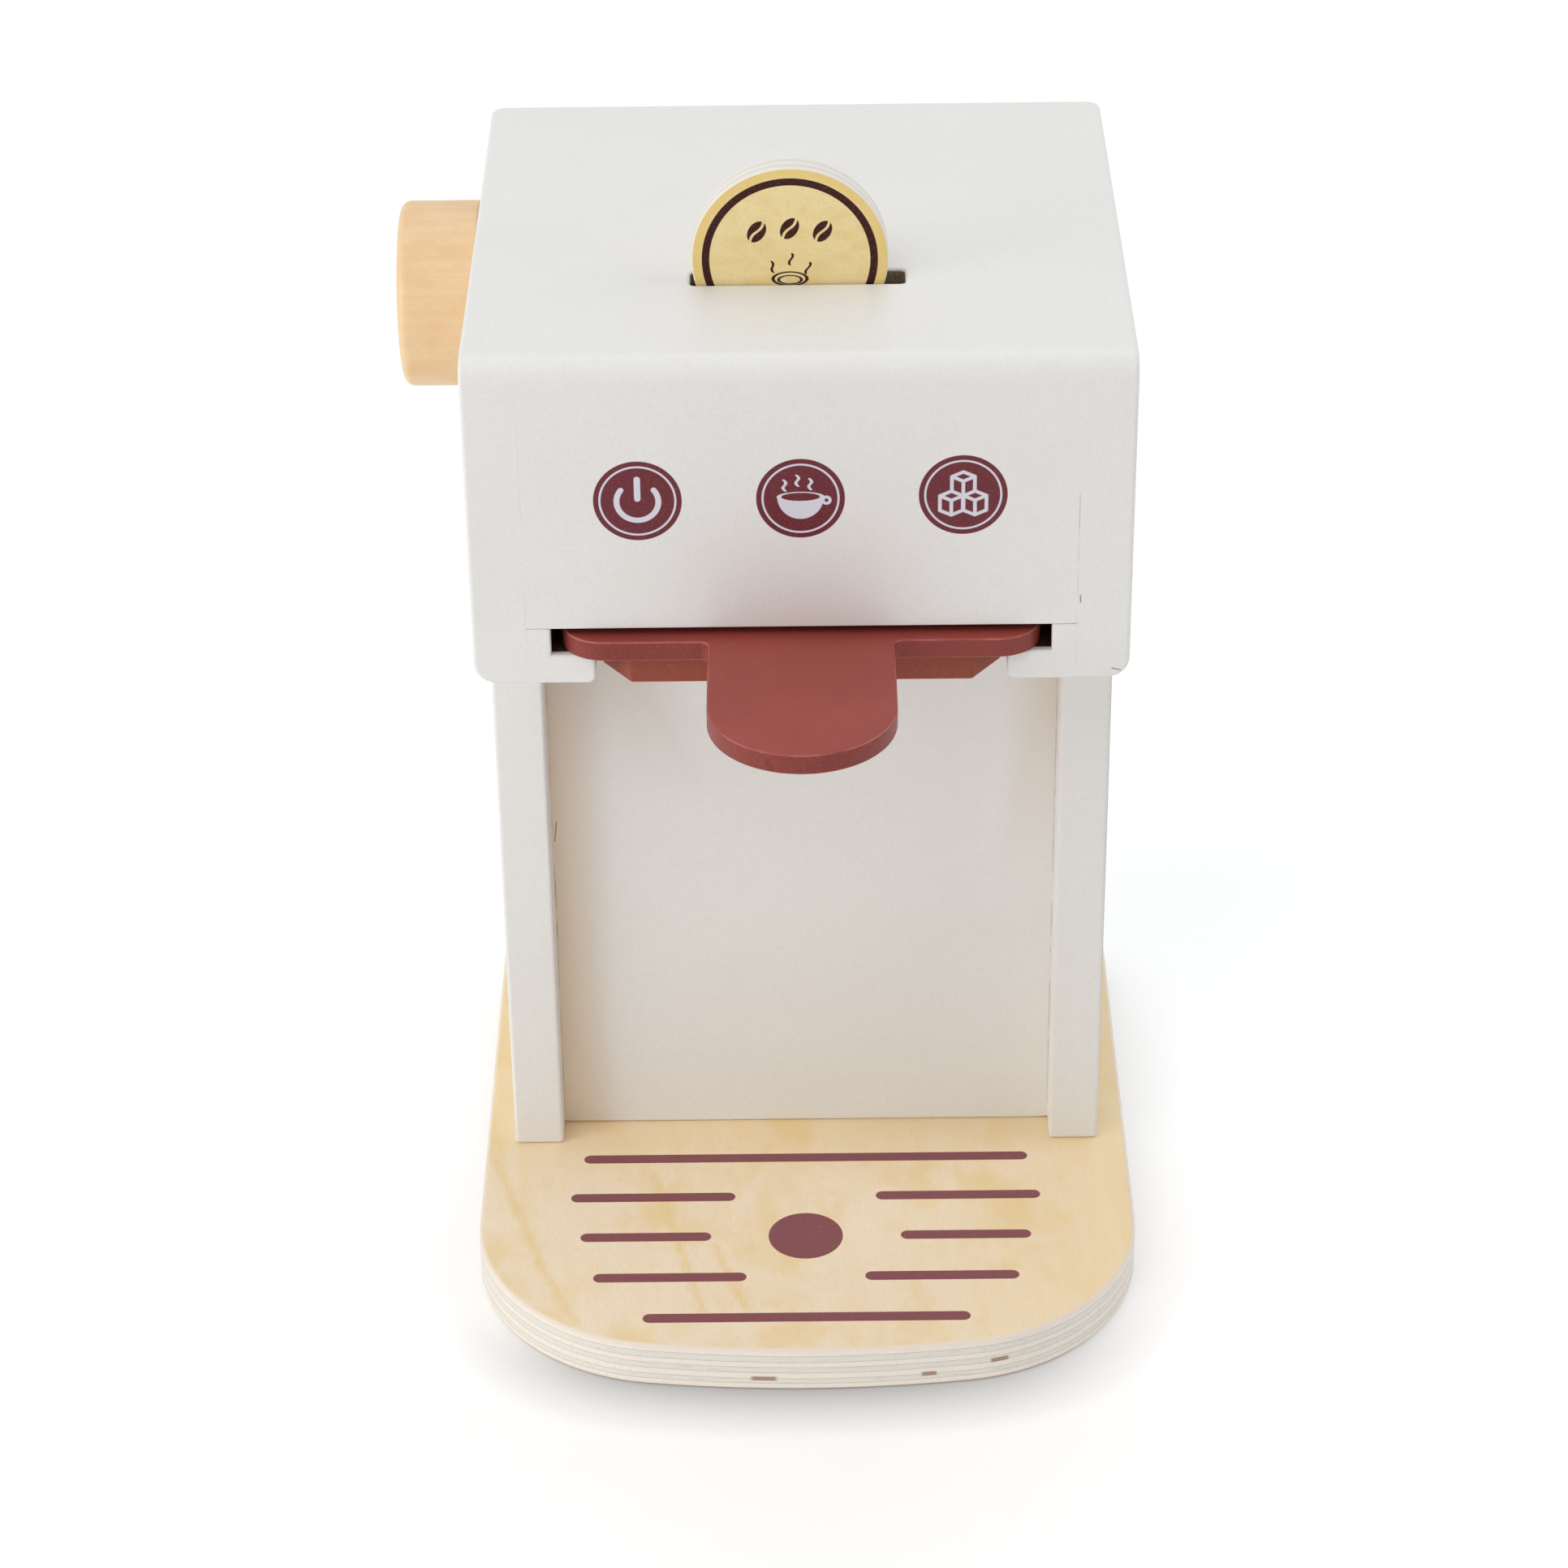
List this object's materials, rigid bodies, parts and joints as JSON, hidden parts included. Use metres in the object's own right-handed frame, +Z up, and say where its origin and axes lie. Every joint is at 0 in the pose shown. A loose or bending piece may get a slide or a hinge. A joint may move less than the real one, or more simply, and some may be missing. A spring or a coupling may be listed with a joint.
{
  "type": "toy coffee maker",
  "caption": "Wooden toy coffee maker with an open cup bay, a pull-out tray, a turning side knob and a play coin that stands in a slot in the top.",
  "frame": {"origin": "middle of the base board's underside, on the surface that the toy stands on", "axes": "+X is the viewer's right, the front with the tray faces -Y, +Z is up"},
  "size_m": [0.1435, 0.159, 0.2316],
  "materials": {
    "white_paint": "boards with warm white satin lacquer",
    "red_paint": "tray with dusty red satin lacquer",
    "red_paint_dull": "guide block with thin brownish red lacquer",
    "base_plywood": "clear lacquered plywood with pale plies at the edge",
    "bare_plywood": "bare sanded plywood",
    "knob_beech": "smooth beech with a thin clear oil",
    "dowel_beech": "bare beech",
    "coin_plywood": "plywood disc with a yellowish printed face",
    "grey_felt": "pressed felt",
    "screw_steel": "zinc plated"
  },
  "bodies": {
    "body": {"base_board": "base_plywood", "left_side_board": "white_paint", "right_side_board": "white_paint", "top_panel": "white_paint", "front_panel": "white_paint", "bay_back_panel": "white_paint", "rear_panel": "white_paint", "left_tray_rail": "white_paint", "right_tray_rail": "white_paint", "coin_rest": "bare_plywood", "base_screws": "screw_steel", "glue_dowels": "dowel_beech"},
    "tray": {"tray_plate": "red_paint", "tray_guide_block": "red_paint_dull"},
    "knob": {"knob": "knob_beech", "knob_axle": "dowel_beech", "knob_felt_washer": "grey_felt", "knob_retaining_disc": "dowel_beech", "knob_screw": "screw_steel"},
    "coin": {"coffee_coin": "coin_plywood"}
  },
  "joints": [
    {"name": "tray_slide", "type": "slide", "parent": "body", "child": "tray", "axis": [0, -1, 0], "range_m": [0, 0.04]},
    {"name": "knob_turn", "type": "hinge", "parent": "body", "child": "knob", "pos_m": [-0.0605, 0.038, 0.1848], "axis": [-1, 0, 0], "continuous": true},
    {"name": "coin_lift", "type": "slide", "parent": "body", "child": "coin", "axis": [0, 0, 1], "range_m": [0, 0.014]}
  ]
}
